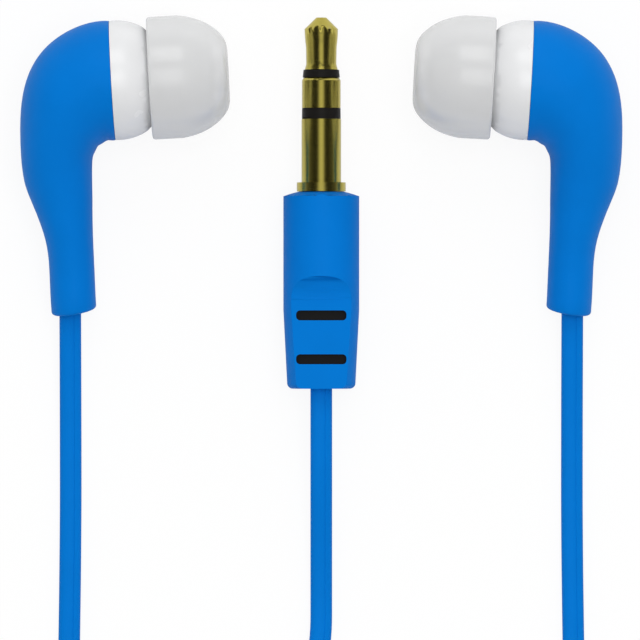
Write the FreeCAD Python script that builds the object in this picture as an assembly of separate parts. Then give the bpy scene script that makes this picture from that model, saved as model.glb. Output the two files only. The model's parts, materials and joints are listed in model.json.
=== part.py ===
"""Wired in-ear earphones: two earbuds, a Y-shaped flat cord and a 3.5 mm stereo plug.

Units are millimetres. The earphones lie on a table at z = 0, with the ear tips facing each
other. X runs from the left earbud to the right one, Y from the plug's end of the cord to the
earbuds, and Z up. The origin is under the middle of the two earbuds.

Each earbud is drawn in a frame of its own: x along the nozzle, out of the ear tip, y up the
stem and z out of the table, with x = 0 on the seam between the two shells.
"""
import FreeCAD, Part
import math
import os

Vec = FreeCAD.Vector
X_AXIS = Vec(1, 0, 0)
Y_AXIS = Vec(0, 1, 0)
Z_AXIS = Vec(0, 0, 1)
ORIGIN = Vec(0, 0, 0)

# Fits
SLIDE_FIT = 0.05        # an ear tip on its nozzle
SEAT_GAP = 0.03         # between pieces that are pressed or glued together
MOVING_GAP = 0.2        # round the voice coil and the diaphragm
CORD_FIT = 0.1          # a cord in the Y-split's mouth

# Shells of an earbud
SEAM_R = 5.27
HOUSING_WALL = 0.75
STEM_FLOOR = 1.9
BOTTOM_ROUND = 0.3
COVER_WALL = 0.75
COVER_DEPTH = 3.95
COVER_DOME = ((1.6, 0.12), (2.9, 0.67), (3.45, 1.3), (3.85, 2.3))   # ahead of the seam, inside its rim
NOZZLE_NECK_R = 1.75
NOZZLE_BARB_R = 1.9
NOZZLE_BORE_R = 1.1
NOZZLE_LENGTH = 4.65
BARB_LENGTH = 1.3
BARB_TAPER = 0.6
MESH_DEPTH = 0.55
MESH_R = 1.3
MESH_THICK = 0.2
MESH_HOLE_R = 0.12

# Ear tip
TIP_R = 5.42
TIP_LENGTH = 7.0
TIP_BACK = 3.3
TIP_WALL = 0.55
TIP_FRONT_R = 3.1
TIP_MOUTH_R = 1.5
TIP_SLEEVE_WALL = 0.6
TIP_STRAIGHT = 2.7
TIP_LIP = 1.4
TIP_EDGE = 0.2
TIP_DROP = 0.85
TIP_CLEAR = 0.3

# Driver
DRIVER_R = 4.3
DRIVER_RIM = 0.5
BASKET_DEPTH = 0.9
BASKET_FRONT = 0.4
BASKET_PLATE = 0.4
LEDGE_BEARING = 0.3
LEDGE_THICK = 0.55
YOKE_R = 2.95
YOKE_WALL = 0.3
YOKE_FLOOR = 0.45
YOKE_PROUD = 0.15
PLATE_BACK_SET = 0.1
MAGNET_R = 1.95
MAGNET_THICK = 1.1
TOP_PLATE_R = 2.1
TOP_PLATE_THICK = 0.45
COIL_WALL = 0.2
COIL_LENGTH = 1.4
COIL_LIFT = 0.6
FOIL = 0.12
CONE_WIDTH = 0.5
CONE_RISE = 0.15
DOME_RISE = 0.3
SURROUND_RISE = 0.2
GRILLE_THICK = 0.25
GRILLE_HOLE_R = 0.42
GRILLE_CIRCLES = ((1.3, 6), (2.6, 12))   # radius and holes of each circle
VENT_R = 0.22
VENT_COUNT = 8
DAMPING_THICK = 0.18
BOARD = (0.4, 2.4, 3.0)
LEAD_R = 0.22
LEAD_SPREAD = 0.6
LEAD_FOOT_SPREAD = 0.25
LEAD_RISE = (-5.0, -9.0)
LEAD_BEND = (1.2, -3.0)
LEAD_PAD_Y = -0.6

# Where the earbuds lie
NOZZLE_TILT = 3.2
SEAM_X = 18.48
SEAM_Y = 7.34

# Cord
CORD_WIDTH = 1.95
CORD_THICK = 1.2
CORD_LIFT = 0.02
TURN_GAP = 0.48
REVERSAL_STEP = 0.4
TIE_THICK = 0.4
TIE_WIDTH = 3.0
TIE_SLACK = 0.4
GROMMET_WALL = 0.4
GROMMET_RECESS = 0.45
STOP_WALL = 0.22
STOP_LENGTH = 1.7
TAIL_INSIDE = 5.4
FLEX_LENGTH = 5.0

# Plug
PLUG_R = 1.75
PLUG_LENGTH = 14.6
PLUG_SEGMENTS = (4.6, 0.72, 2.68, 0.98)   # tip, front insulator, ring, rear insulator
TIP_BALL_R = 1.48
TIP_NECK_R = 1.36
TIP_NOSE_R = 0.45
RING_R = 1.71
COLLAR_R = 2.17
COLLAR_THICK = 0.78
COLLAR_FRONT = -1.64
CORE_ROD_R = 0.45
CORE_STEP = 0.27
CORE_REACH = 4.2
CORE_STAGGER = 0.8
MOULD_R = 3.36
MOULD_END_R = 3.03
MOULD_TOP = -2.24
MOULD_DOME = 0.62
MOULD_BOTTOM = -19.9
MOULD_TAPER_START = -12.9
MOULD_CORNER = 0.5
GRIP_HALF = 2.06
GRIP_START = -9.93
GRIP_FLAT = -12.05
GRIP_COVER = 0.5
SLOT_WIDTH = 4.45
SLOT_HEIGHT = 0.88
SLOT_CORNER = 0.35
SLOT_CENTRES = (-13.41, -17.29)
INNER_HALF = 1.45
INNER_R = 2.35
INNER_SET_BACK = 0.6
TONGUE_MARGIN = 0.2
PLUG_CORD_REACH = 8.0
PLUG_WIRE_SPACING = 0.6

# Y-split
SPLIT_TOP = -87.6
SPLIT_LENGTH = 7.5
SPLIT_TOP_WIDTH = 4.2
SPLIT_END_WIDTH = 5.7
SPLIT_WALL = 0.45
SPLIT_DEPTH = 2.0
STRAND_X = 1.4

# Coils, each wound in layers of half turns
CORD_REST = CORD_THICK / 2 + CORD_LIFT
COIL_BASE = TIE_THICK + 0.05 + CORD_THICK / 2
TURN_STEP = (CORD_WIDTH + TURN_GAP) / 2
LAYER_STEP = CORD_THICK + TURN_GAP
MAIN_COIL = Vec(0, -64.2, 0)
MAIN_COIL_R = 15.3
MAIN_ENTRY = 120.0
MAIN_EXIT = 240.0
MAIN_EXIT_R = 15.0
BRANCH_COIL = Vec(-15.3, -93.3, 0)
BRANCH_COIL_R = 10.8
BRANCH_ENTRY_R = 11.4

# Where the cords run between their coils
BRANCH_ON_TABLE = ((-22.27, -34.5), (-22.6, -54.0), (-24.5, -69.5))
BRANCH_CLIMB_END = -84.0
STRAND_CORNER = 4.0
MAIN_LEVEL_END = -25.9
MAIN_TOUCH = -36.0
MAIN_RISE = -44.0
MAIN_RISE_LIFT = 0.2
MAIN_LEAD_IN = 4.35
LOWER_LEAD_OUT = 3.8
LOWER_SINK = 0.4
LOWER_STRAIGHT = -83.8

# Driver positions along the nozzle's axis, worked out from the sizes above
BASKET_BACK = -BASKET_DEPTH
BASKET_BORE_R = DRIVER_R - DRIVER_RIM
LEDGE_R = DRIVER_R - LEDGE_BEARING
YOKE_FRONT = BASKET_BACK + YOKE_PROUD
PLATE_FRONT = YOKE_FRONT - PLATE_BACK_SET
MAGNET_FRONT = PLATE_FRONT - TOP_PLATE_THICK
MAGNET_BACK = MAGNET_FRONT - MAGNET_THICK
YOKE_BACK = MAGNET_BACK - YOKE_FLOOR
COIL_R = YOKE_R - YOKE_WALL - MOVING_GAP
DIAPHRAGM_EDGE = PLATE_FRONT + COIL_LIFT
GRILLE_BACK = BASKET_FRONT + SEAT_GAP
COVER_STEP = GRILLE_BACK + GRILLE_THICK + SEAT_GAP


def cylinder(radius, start, end):
    """A round bar along the nozzle's axis."""
    return Part.makeCylinder(radius, end - start, Vec(start, 0, 0), X_AXIS)


def ring(inner, outer, start, end):
    """A plain ring round the nozzle's axis."""
    return cylinder(outer, start, end).cut(cylinder(inner, start - 1, end + 1))


def chain(start, *steps):
    """Edges through points of two numbers; a step of two points is an arc by its middle."""
    edges = []
    here = start
    for step in steps:
        if isinstance(step[0], tuple):
            middle, there = step
            edges.append(Part.Arc(Vec(*here, 0), Vec(*middle, 0), Vec(*there, 0)).toShape())
        else:
            there = step
            edges.append(Part.LineSegment(Vec(*here, 0), Vec(*there, 0)).toShape())
        here = there
    return edges


def turned(start, *steps):
    """A solid of revolution about X, from a closed outline of (x, radius) points."""
    face = Part.Face(Part.Wire(chain(start, *steps, start)))
    return face.revolve(ORIGIN, X_AXIS, 360)


def half_way_down(radius, rise):
    """The middle of a round dome's side: its drop from the crown, and its distance from the axis."""
    ball = (radius ** 2 + rise ** 2) / (2 * rise)
    lean = math.asin(radius / ball) / 2
    return ball * (1 - math.cos(lean)), ball * math.sin(lean)


def oval(centre, along, half_length, half_depth):
    """A closed oval wire with its long way in the XY plane and its depth along Z."""
    across, deep = along * half_length, Z_AXIS * half_depth
    major, minor = (across, deep) if half_length >= half_depth else (deep, across)
    return Part.Wire([Part.Ellipse(centre + major, centre + minor, centre).toShape()])


# The shell's back edge and its edge towards the wearer, and half its depth, from the seam
# round the back of the driver and down the stem.
HOUSING_SECTIONS = (
    ((0.00, SEAM_R), (0.00, -SEAM_R), SEAM_R),
    ((-2.60, 4.98), (-0.52, -5.26), 5.15),
    ((-5.06, 3.75), (-0.92, -5.36), 5.00),
    ((-7.15, 1.34), (-1.33, -5.59), 4.75),
    ((-8.13, -1.66), (-1.71, -5.94), 4.40),
    ((-8.41, -4.60), (-2.01, -6.48), 4.00),
    ((-8.41, -7.32), (-2.19, -7.32), 3.60),
    ((-8.10, -9.36), (-2.31, -9.46), 3.10),
    ((-7.26, -11.88), (-2.44, -12.05), 2.70),
    ((-6.64, -14.56), (-2.52, -14.74), 2.40),
    ((-6.56, -17.21), (-2.56, -17.42), 2.25),
    ((-6.57, -20.66), (-2.59, -20.22), 2.20),
)
STEM_END = HOUSING_SECTIONS[-1]
STEM_REACH = -(STEM_END[0][1] + STEM_END[1][1]) / 2
ROLL = math.degrees(math.asin((TIP_R - STEM_END[2]) / STEM_REACH))
TILT = math.radians(NOZZLE_TILT)
EXIT = Vec(-4.93, -20.62, 0)
EXIT_WAY = Vec(-math.sin(TILT), -math.cos(TILT), 0)


def housing_loft(inset, sections):
    """The shell's form, drawn in by a wall."""
    wires = []
    for back, front, depth in sections:
        middle = Vec((back[0] + front[0]) / 2, (back[1] + front[1]) / 2, 0)
        across = Vec(back[0] - front[0], back[1] - front[1], 0)
        half = across.Length / 2
        across.normalize()
        wires.append(oval(middle, across, half - inset, depth - inset))
    return Part.makeLoft(wires, True, False)


def cord_section(point, way, grow=0.0):
    """The cord's cross-section, a flat bar with round edges, square to the way it runs."""
    side = way.cross(Z_AXIS).normalize()
    up = side.cross(way).normalize()
    flat = (CORD_WIDTH - CORD_THICK) / 2
    round_r = CORD_THICK / 2 + grow
    corner = [point + side * (x * flat) + up * (y * round_r)
              for x, y in ((-1, 1), (1, 1), (1, -1), (-1, -1))]
    right = point + side * (flat + round_r)
    left = point - side * (flat + round_r)
    return Part.Wire([
        Part.LineSegment(corner[0], corner[1]).toShape(),
        Part.Arc(corner[1], right, corner[2]).toShape(),
        Part.LineSegment(corner[2], corner[3]).toShape(),
        Part.Arc(corner[3], left, corner[0]).toShape()])


def cord_bar(start, end, grow=0.0):
    """A straight piece of cord, or of a bore round it."""
    way = end - start
    return Part.Face(cord_section(start, way, grow)).extrude(way)


def along_exit(distance):
    """A point on the cord's line in the stem, this far inside its mouth."""
    return EXIT - EXIT_WAY * distance


def rear_housing():
    """The blue shell: the driver's back and the stem, with a ledge for the driver."""
    outer = housing_loft(0, HOUSING_SECTIONS)
    bottom = [e for e in outer.Edges if e.BoundBox.YMax < EXIT.y + 1]
    outer = outer.makeFillet(BOTTOM_ROUND, bottom)
    ledge_front = BASKET_BACK - SEAT_GAP
    ledge_back = ledge_front - LEDGE_THICK
    reach = 2 * SEAM_R
    ahead = Part.makeBox(reach, 2 * reach, 2 * reach, Vec(ledge_back, -reach, -reach))
    hollow = housing_loft(HOUSING_WALL, HOUSING_SECTIONS[:-1]).cut(ahead)
    opening = turned(
        (ledge_back - 0.5, 0),
        (ledge_back - 0.5, LEDGE_R),
        (ledge_front, LEDGE_R),
        (ledge_front, DRIVER_R + 2 * SEAT_GAP),
        (1, DRIVER_R + 2 * SEAT_GAP),
        (1, 0))
    pocket = cord_bar(along_exit(STEM_FLOOR), along_exit(-1), GROMMET_WALL + SEAT_GAP)
    passage = cord_bar(along_exit(STEM_FLOOR + 3), along_exit(-1), STOP_WALL + SEAT_GAP)
    return outer.cut(hollow).cut(opening).cut(pocket).cut(passage)


def front_cover():
    """The white shell with the nozzle: a shallow dome, a neck and a barb for the ear tip."""
    nozzle_end = COVER_DEPTH + NOZZLE_LENGTH
    barb = nozzle_end - BARB_LENGTH
    seat = nozzle_end - MESH_DEPTH
    inner_r = DRIVER_R + 2 * SEAT_GAP
    dome = [(ahead, SEAM_R - inside) for ahead, inside in COVER_DOME]
    return turned(
        (SEAT_GAP, SEAM_R),
        (dome[0], dome[1]),
        (dome[2], dome[3]),
        (COVER_DEPTH, NOZZLE_NECK_R),
        (barb, NOZZLE_NECK_R),
        (barb + 0.15, NOZZLE_BARB_R),
        (nozzle_end - BARB_TAPER, NOZZLE_BARB_R),
        (nozzle_end, NOZZLE_BARB_R - BARB_TAPER / 2),
        (nozzle_end, MESH_R + SEAT_GAP),
        (seat, MESH_R + SEAT_GAP),
        (seat, NOZZLE_BORE_R),
        (COVER_DEPTH - COVER_WALL, NOZZLE_BORE_R),
        ((COVER_DEPTH - 1.5, SEAM_R - 2.2), (COVER_STEP, LEDGE_R)),
        (COVER_STEP, inner_r),
        (SEAT_GAP, inner_r))


def nozzle_mesh():
    """A fine metal screen in the nozzle's mouth."""
    start = COVER_DEPTH + NOZZLE_LENGTH - MESH_DEPTH + SEAT_GAP
    disc = cylinder(MESH_R, start, start + MESH_THICK)
    pitch = 3.2 * MESH_HOLE_R
    count = int((MESH_R - 2 * MESH_HOLE_R) / pitch)
    holes = [Part.makeCylinder(MESH_HOLE_R, 2, Vec(start - 1, i * pitch, j * pitch), X_AXIS)
             for i in range(-count, count + 1) for j in range(-count, count + 1)
             if math.hypot(i, j) * pitch < MESH_R - 2 * MESH_HOLE_R]
    return disc.cut(Part.makeCompound(holes))


def ear_tip():
    """The soft tip: a skirt that turns back over a sleeve, with a wide mouth."""
    back = TIP_BACK
    front = TIP_BACK + TIP_LENGTH
    straight = back + TIP_STRAIGHT
    bore_r = NOZZLE_BARB_R + SLIDE_FIT
    sleeve_r = bore_r + TIP_SLEEVE_WALL
    sleeve_back = COVER_DEPTH + TIP_CLEAR
    bore_end = front - TIP_LIP
    bulge = straight + 0.6 * (front - straight)
    return turned(
        (back, TIP_R - TIP_EDGE),
        (back + TIP_EDGE, TIP_R),
        (straight, TIP_R),
        ((bulge, TIP_R - TIP_DROP), (front - 0.35, TIP_FRONT_R + 0.15)),
        ((front - 0.1, TIP_FRONT_R - 0.2), (front, TIP_FRONT_R - 0.6)),
        (front, TIP_MOUTH_R),
        (bore_end, TIP_MOUTH_R),
        (bore_end, bore_r),
        (sleeve_back, bore_r),
        (sleeve_back, sleeve_r),
        (front - 1.5, sleeve_r),
        ((bulge, TIP_R - TIP_DROP - 1.15 * TIP_WALL), (straight, TIP_R - TIP_WALL)),
        (back, TIP_R - TIP_WALL))


def driver_basket():
    """The driver's metal frame: a rim round the diaphragm and a vented back plate."""
    rim = ring(BASKET_BORE_R, DRIVER_R, BASKET_BACK, BASKET_FRONT)
    plate = ring(YOKE_R + SEAT_GAP, LEDGE_R - SEAT_GAP, BASKET_BACK - BASKET_PLATE, BASKET_BACK)
    joint = ring(BASKET_BORE_R - 0.3, LEDGE_R - SEAT_GAP, BASKET_BACK - BASKET_PLATE, BASKET_BACK + 0.2)
    vent_circle = (YOKE_R + LEDGE_R) / 2
    vents = []
    for i in range(VENT_COUNT):
        turn = 2 * math.pi * i / VENT_COUNT
        spot = Vec(BASKET_BACK - 1, vent_circle * math.cos(turn), vent_circle * math.sin(turn))
        vents.append(Part.makeCylinder(VENT_R, 3, spot, X_AXIS))
    return rim.fuse(joint).fuse(plate).cut(Part.makeCompound(vents)).removeSplitter()


def magnet_yoke():
    """The steel cup behind the magnet."""
    cup = cylinder(YOKE_R, YOKE_BACK, YOKE_FRONT)
    return cup.cut(cylinder(YOKE_R - YOKE_WALL, MAGNET_BACK, 1))


def diaphragm():
    """The moulded film: a dome over the coil and a cone out to the surround."""
    cone_r = COIL_R + CONE_WIDTH
    crown = DIAPHRAGM_EDGE + DOME_RISE
    drop, out = half_way_down(COIL_R, DOME_RISE)
    return turned(
        (crown, 0),
        ((crown - drop, out), (DIAPHRAGM_EDGE, COIL_R)),
        (DIAPHRAGM_EDGE + CONE_RISE, cone_r),
        (DIAPHRAGM_EDGE + CONE_RISE + FOIL, cone_r),
        (DIAPHRAGM_EDGE + FOIL, COIL_R),
        ((crown - drop + FOIL, out), (crown + FOIL, 0)))


def diaphragm_surround():
    """The film's flexible edge, a half roll."""
    inner = COIL_R + CONE_WIDTH + SEAT_GAP
    outer = BASKET_BORE_R - MOVING_GAP / 2
    middle = (inner + outer) / 2
    base = DIAPHRAGM_EDGE + CONE_RISE
    return turned(
        (base, inner),
        ((base + SURROUND_RISE, middle), (base, outer)),
        (base + FOIL, outer),
        ((base + SURROUND_RISE + FOIL, middle), (base + FOIL, inner)))


def driver_grille():
    """A perforated plate that guards the diaphragm."""
    plate = cylinder(DRIVER_R, GRILLE_BACK, GRILLE_BACK + GRILLE_THICK)
    holes = [Part.makeCylinder(GRILLE_HOLE_R, 3, Vec(GRILLE_BACK - 1, 0, 0), X_AXIS)]
    for circle, count in GRILLE_CIRCLES:
        for i in range(count):
            turn = 2 * math.pi * i / count
            spot = Vec(GRILLE_BACK - 1, circle * math.cos(turn), circle * math.sin(turn))
            holes.append(Part.makeCylinder(GRILLE_HOLE_R, 3, spot, X_AXIS))
    return plate.cut(Part.makeCompound(holes))


def terminal_board():
    """A small circuit board glued to the back of the yoke."""
    thick, height, width = BOARD
    corner = Vec(YOKE_BACK - SEAT_GAP - thick, -height / 2, -width / 2)
    return Part.makeBox(thick, height, width, corner)


def lead_wires():
    """Two thin wires from the cord's end up to the board."""
    board_back = YOKE_BACK - SEAT_GAP - BOARD[0] - SEAT_GAP
    wires = []
    for side in (-1, 1):
        foot = along_exit(TAIL_INSIDE + SEAT_GAP) + Z_AXIS * (side * LEAD_FOOT_SPREAD)
        rise = Vec(*LEAD_RISE, side * LEAD_SPREAD)
        bend = Vec(board_back - LEAD_BEND[0], LEAD_BEND[1], side * LEAD_SPREAD)
        pad = Vec(board_back, LEAD_PAD_Y, side * LEAD_SPREAD)
        wires.append(round_tube([foot, foot - EXIT_WAY * 2.5, rise, bend, pad], LEAD_R))
    return Part.makeCompound(wires)


def cord_stop():
    """A crimped sleeve that keeps the cord from being pulled out of the stem."""
    low = STEM_FLOOR + SEAT_GAP
    sleeve = cord_bar(along_exit(low + STOP_LENGTH), along_exit(low), STOP_WALL)
    return sleeve.cut(cord_bar(along_exit(low + STOP_LENGTH + 1), along_exit(low - 1), SEAT_GAP / 2))


def cord_grommet():
    """The rubber bush in the stem's mouth, a little below its rim."""
    body = cord_bar(along_exit(STEM_FLOOR - SEAT_GAP), along_exit(GROMMET_RECESS), GROMMET_WALL)
    return body.cut(cord_bar(along_exit(STEM_FLOOR + 1), along_exit(-1), SEAT_GAP / 2))


def cord_tail():
    """The cord's end inside the stem."""
    return cord_bar(along_exit(TAIL_INSIDE), EXIT)


def corner_arcs(points):
    """Straight runs joined by tangent arcs as large as the runs allow, and the least radius."""
    edges = []
    here = points[0]
    least = math.inf
    for before, at, after in zip(points, points[1:], points[2:]):
        back, on = before - at, after - at
        run = min(back.Length, on.Length)
        half_turn = (math.pi - back.getAngle(on)) / 2
        reach = 0.45 * run
        radius = reach / math.tan(half_turn)
        least = min(least, radius)
        start = at + back.normalize() * reach
        end = at + on.normalize() * reach
        bisector = (back + on).normalize()
        middle = at + bisector * (radius / math.cos(half_turn) - radius)
        edges.append(Part.LineSegment(here, start).toShape())
        edges.append(Part.Arc(start, middle, end).toShape())
        here = end
    edges.append(Part.LineSegment(here, points[-1]).toShape())
    return edges, least


def round_tube(points, radius):
    """A thin round wire along a route."""
    edges, _ = corner_arcs(points)
    way = points[1] - points[0]
    section = Part.Wire([Part.Circle(points[0], way, radius).toShape()])
    return Part.Wire(edges).makePipeShell([section], True, False)


def swept_cord(name, edges):
    """The cord's section along a path, with its volume set against section times length."""
    path = Part.Wire(edges)
    first = edges[0]
    way = first.tangentAt(first.FirstParameter)
    section = cord_section(first.valueAt(first.FirstParameter), way)
    solid = path.makePipeShell([section], True, False)
    whole = Part.Face(section).Area * path.Length
    print("%s: %.1f mm long, volume %.4f of section times length, valid %s"
          % (name, path.Length, solid.Volume / whole, solid.isValid()))
    return solid


def laid_cord(name, points):
    """A free stretch of cord along points chosen by hand."""
    edges, least = corner_arcs(points)
    print("%s: least radius %.1f mm" % (name, least))
    return swept_cord(name, edges)


def biarc(start, way, end, end_way):
    """Two tangent arcs between two points with given ways."""
    gap = end - start
    both = way + end_way
    scale = 2 * (1 - way.dot(end_way))
    reach = (-gap.dot(both) + math.sqrt(gap.dot(both) ** 2 + scale * gap.dot(gap))) / scale
    corners = (start + way * reach, end - end_way * reach)
    joint = (corners[0] + corners[1]) * 0.5
    arcs = []
    for a, corner, b in ((start, corners[0], joint), (joint, corners[1], end)):
        chord_middle = (a + b) * 0.5
        half = (b - a).Length / 2
        height = (corner - chord_middle).Length
        sagitta = half * (reach - half) / height
        middle = chord_middle + (corner - chord_middle).normalize() * sagitta
        arcs.append(Part.Arc(a, middle, b).toShape())
    return arcs


def layer_nodes(outer, start, sense, counts, outer_first=True):
    """Half-turn nodes (angle, radius, height) of turns that spiral in and out, layer on layer."""
    nodes = []
    angle = start
    radius = outer
    inward = True
    for layer, count in enumerate(counts):
        height = COIL_BASE + layer * LAYER_STEP
        way = -1 if inward else 1
        if layer:
            angle += sense * 180
        nodes.append((angle, radius, height))
        for i in range(count):
            angle += sense * 180
            next_to_reversal = (i == 0 and layer > 0) or (i == count - 1 and layer < len(counts) - 1)
            radius += way * (TURN_STEP + (REVERSAL_STEP if next_to_reversal else 0))
            nodes.append((angle, radius, height))
        inward = not inward
    return nodes


def coil_points(centre, nodes, sense):
    """Where a coil's nodes are, and which way the cord runs there."""
    spots = []
    for angle, radius, height in nodes:
        turn = math.radians(angle)
        out = Vec(math.cos(turn), math.sin(turn), 0)
        way = Vec(-out.y, out.x, 0) * sense
        spots.append((centre + out * radius + Z_AXIS * height, way))
    return spots


def wound_cord(name, centre, nodes, sense):
    """A coil as one unbroken length of cord, with a straight end one width long at each end."""
    spots = coil_points(centre, nodes, sense)
    first, last = spots[0], spots[-1]
    edges = [Part.LineSegment(first[0] - first[1] * CORD_WIDTH, first[0]).toShape()]
    for (here, way), (there, on) in zip(spots, spots[1:]):
        edges += biarc(here, way, there, on)
    edges.append(Part.LineSegment(last[0], last[0] + last[1] * CORD_WIDTH).toShape())
    print("%s: least gap to itself %.2f mm" % (name, least_gap(edges)))
    return swept_cord(name, edges)


def least_gap(edges):
    """The least gap between turns, measured on points along the two round edges of the cord."""
    flat = (CORD_WIDTH - CORD_THICK) / 2
    marks = []
    travelled = 0.0
    for edge in edges:
        count = max(2, int(edge.Length / 1.0))
        first, last = edge.ParameterRange
        for i in range(count):
            parameter = first + (last - first) * i / count
            point = edge.valueAt(parameter)
            side = edge.tangentAt(parameter).cross(Z_AXIS).normalize() * flat
            marks.append((travelled + edge.Length * i / count, (point + side, point - side, point)))
        travelled += edge.Length
    least = math.inf
    for i, (here, spots) in enumerate(marks):
        for there, others in marks[i + 1:]:
            if there - here > 6 * CORD_WIDTH:
                least = min(least, min(a.distanceToPoint(b) for a in spots for b in others))
    return least - CORD_THICK


def coil_tie(centre, nodes, angle):
    """A soft band round a coil's turns at one angle."""
    radii = [r for _, r, _ in nodes]
    heights = [h for _, _, h in nodes]
    low = min(radii) - CORD_WIDTH / 2 - TIE_SLACK
    high = max(radii) + CORD_WIDTH / 2 + TIE_SLACK
    top = max(heights) + CORD_THICK / 2 + 0.15
    outer = Part.makeBox(high - low + 2 * TIE_THICK, TIE_WIDTH, top + TIE_THICK,
                         Vec(low - TIE_THICK, -TIE_WIDTH / 2, 0))
    corners = [e for e in outer.Edges
               if abs(e.tangentAt(e.FirstParameter).y) > 0.9]
    outer = outer.makeFillet(2 * TIE_THICK, corners)
    inner = Part.makeBox(high - low, 2 * TIE_WIDTH, top - TIE_THICK, Vec(low, -TIE_WIDTH, TIE_THICK))
    corners = [e for e in inner.Edges
               if abs(e.tangentAt(e.FirstParameter).y) > 0.9]
    band = outer.cut(inner.makeFillet(TIE_THICK, corners))
    band.rotate(ORIGIN, Z_AXIS, angle)
    band.translate(centre)
    return band


def along_y(start, *steps):
    """A solid of revolution about the plug's axis, from (y, radius) points."""
    solid = turned(start, *steps)
    solid.rotate(ORIGIN, Z_AXIS, 90)
    return solid


def plug_pieces():
    """The plug's contacts, insulators, inner mould and grip, about the Y axis."""
    tip_length, front_length, ring_length, rear_length = PLUG_SEGMENTS
    nose = COLLAR_FRONT + PLUG_LENGTH
    tip_base = nose - tip_length
    ring_front = tip_base - front_length
    ring_back = ring_front - ring_length
    sleeve_front = ring_back - rear_length
    tube = [CORE_ROD_R + i * CORE_STEP for i in range(4)]
    back = [MOULD_TOP - CORE_REACH + CORE_STAGGER * i for i in range(5)]
    pieces = {}
    pieces["plug_tip"] = along_y(
        (nose, 0),
        (nose, TIP_NOSE_R),
        (nose - 1.02, TIP_BALL_R),
        ((nose - 1.6, TIP_BALL_R - 0.02), (nose - 2.6, TIP_NECK_R)),
        (tip_base + 0.5, TIP_NECK_R - 0.03),
        (tip_base, TIP_NECK_R + 0.1),
        (tip_base, tube[0]),
        (back[0], tube[0]),
        (back[0], 0))
    pieces["plug_front_insulator"] = along_y(
        (tip_base - SEAT_GAP, tube[0] + SEAT_GAP),
        (tip_base - SEAT_GAP, TIP_NECK_R + 0.22),
        (ring_front + SEAT_GAP, RING_R - 0.06),
        (ring_front + SEAT_GAP, tube[1]),
        (back[1], tube[1]),
        (back[1], tube[0] + SEAT_GAP))
    pieces["plug_ring"] = along_y(
        (ring_front, tube[1] + SEAT_GAP),
        (ring_front, RING_R - 0.15),
        (ring_front - 0.25, RING_R),
        (ring_back, RING_R),
        (ring_back, tube[2]),
        (back[2], tube[2]),
        (back[2], tube[1] + SEAT_GAP))
    pieces["plug_rear_insulator"] = along_y(
        (ring_back - SEAT_GAP, tube[2] + SEAT_GAP),
        (ring_back - SEAT_GAP, RING_R),
        (sleeve_front + SEAT_GAP, PLUG_R - 0.03),
        (sleeve_front + SEAT_GAP, tube[3]),
        (back[3], tube[3]),
        (back[3], tube[2] + SEAT_GAP))
    pieces["plug_sleeve"] = along_y(
        (sleeve_front, tube[3] + SEAT_GAP),
        (sleeve_front, PLUG_R),
        (COLLAR_FRONT, PLUG_R),
        (COLLAR_FRONT, COLLAR_R),
        (COLLAR_FRONT - COLLAR_THICK, COLLAR_R),
        (COLLAR_FRONT - COLLAR_THICK, PLUG_R),
        (back[4], PLUG_R),
        (back[4], tube[3] + SEAT_GAP))

    cord_top = MOULD_BOTTOM + PLUG_CORD_REACH
    wire_length = back[0] - cord_top - 2 * SEAT_GAP
    wires = []
    wire_room = []
    for i in (-1, 0, 1):
        foot = Vec(i * PLUG_WIRE_SPACING, cord_top + SEAT_GAP, 0)
        wires.append(Part.makeCylinder(LEAD_R, wire_length, foot, Y_AXIS))
        wire_room.append(Part.makeCylinder(LEAD_R + SEAT_GAP / 2, wire_length + 1,
                                           foot - Y_AXIS * SEAT_GAP, Y_AXIS))
    pieces["plug_lead_wires"] = Part.makeCompound(wires)
    pieces["plug_cord_end"] = cord_bar(Vec(0, cord_top, 0), Vec(0, MOULD_BOTTOM, 0))

    core_top = COLLAR_FRONT - COLLAR_THICK - INNER_SET_BACK
    core_neck = GRIP_START + GRIP_COVER
    core_low = SLOT_CENTRES[1] - SLOT_HEIGHT
    core = along_y((core_top, 0), (core_top, INNER_R), (core_neck, INNER_R), (core_neck, 0))
    tongue_half = SLOT_WIDTH / 2 + TONGUE_MARGIN
    tongue = Part.makeBox(2 * tongue_half, core_neck - core_low, 2 * INNER_HALF,
                          Vec(-tongue_half, core_low, -INNER_HALF))
    solid_core = core.fuse(tongue).removeSplitter()
    cord_room = cord_bar(Vec(0, cord_top + SEAT_GAP, 0), Vec(0, MOULD_BOTTOM - 1, 0), SEAT_GAP / 2)
    metal_room = along_y(
        (COLLAR_FRONT + 1, 0),
        (COLLAR_FRONT + 1, COLLAR_R + SEAT_GAP),
        (COLLAR_FRONT - COLLAR_THICK - SEAT_GAP, COLLAR_R + SEAT_GAP),
        (COLLAR_FRONT - COLLAR_THICK - SEAT_GAP, PLUG_R + SEAT_GAP),
        (back[0] - SEAT_GAP, PLUG_R + SEAT_GAP),
        (back[0] - SEAT_GAP, 0))
    pieces["plug_inner_mould"] = solid_core.cut(metal_room).cut(cord_room).cut(
        Part.makeCompound(wire_room))

    grip = plug_grip_form()
    core_room = along_y((core_top + SEAT_GAP, 0), (core_top + SEAT_GAP, INNER_R + SEAT_GAP),
                        (core_neck - SEAT_GAP, INNER_R + SEAT_GAP), (core_neck - SEAT_GAP, 0))
    tongue_room = Part.makeBox(
        2 * (tongue_half + SEAT_GAP), core_neck - core_low + SEAT_GAP, 2 * (INNER_HALF + SEAT_GAP),
        Vec(-tongue_half - SEAT_GAP, core_low - SEAT_GAP, -INNER_HALF - SEAT_GAP))
    pieces["plug_grip"] = grip.cut(core_room.fuse(tongue_room)).cut(metal_room).cut(cord_room)
    return pieces


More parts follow.
